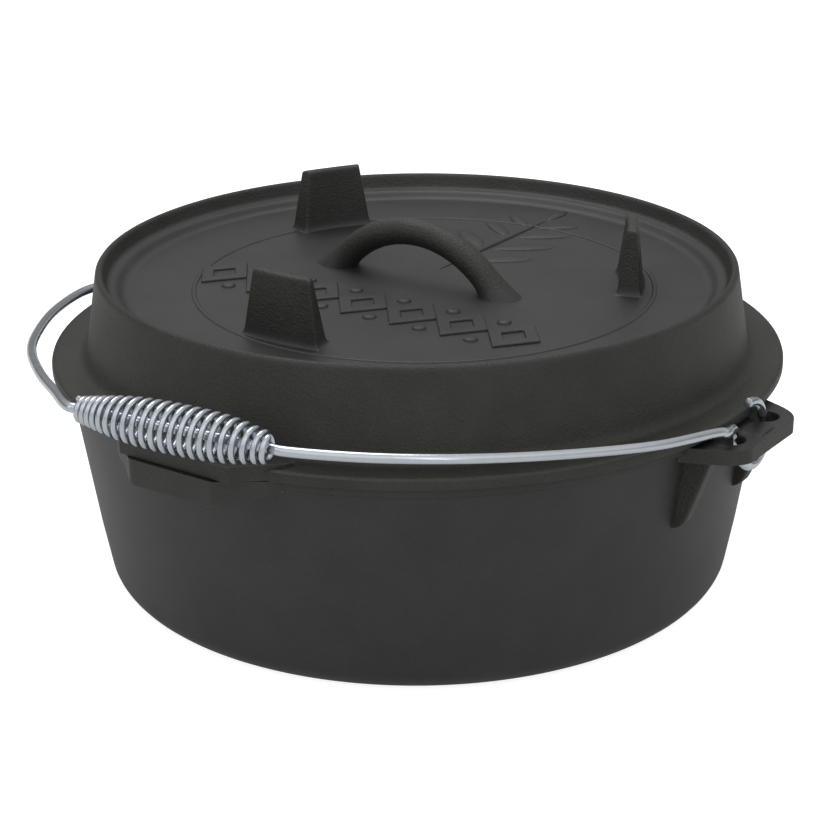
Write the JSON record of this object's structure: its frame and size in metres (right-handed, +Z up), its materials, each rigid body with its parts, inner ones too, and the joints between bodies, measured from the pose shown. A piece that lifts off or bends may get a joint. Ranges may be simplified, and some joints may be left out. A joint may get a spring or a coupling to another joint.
{
  "type": "dutch oven",
  "caption": "Flat-bottomed cast iron camp oven with a pan-shaped lid on legs, a loop handle, eared rim, probe notch and a wire bail with a coil grip",
  "frame": {"origin": "Centre of the pot's flat base, on the surface it stands on", "axes": "+Z up; +X through one ear and along the lid's loop handle; -Y towards the probe notch, where the bail rests"},
  "size_m": [0.358, 0.3641, 0.1618],
  "materials": {
    "pot_iron": "matt seasoned iron",
    "lid_iron": "matt seasoned iron, sand-cast grain",
    "bail_wire": "bright zinc",
    "coil_wire": "bright zinc"
  },
  "bodies": {
    "pot": {"pot": "pot_iron"},
    "lid": {"lid": "lid_iron"},
    "bail": {"bail": "bail_wire"},
    "grip": {"coil_grip": "coil_wire"}
  },
  "joints": [
    {"name": "lid_lift", "type": "slide", "parent": "pot", "child": "lid", "axis": [0, 0, 1], "range_m": [0, 0.13]},
    {"name": "bail_swing", "type": "hinge", "parent": "pot", "child": "bail", "pos_m": [0, 0, 0.0971], "axis": [-1, 0, 0], "range_deg": [0, 145]},
    {"name": "grip_spin", "type": "hinge", "parent": "bail", "child": "grip", "pos_m": [0.015, -0.18513, 0.12593], "axis": [0.9889, 0.1476, -0.0181], "continuous": true}
  ]
}
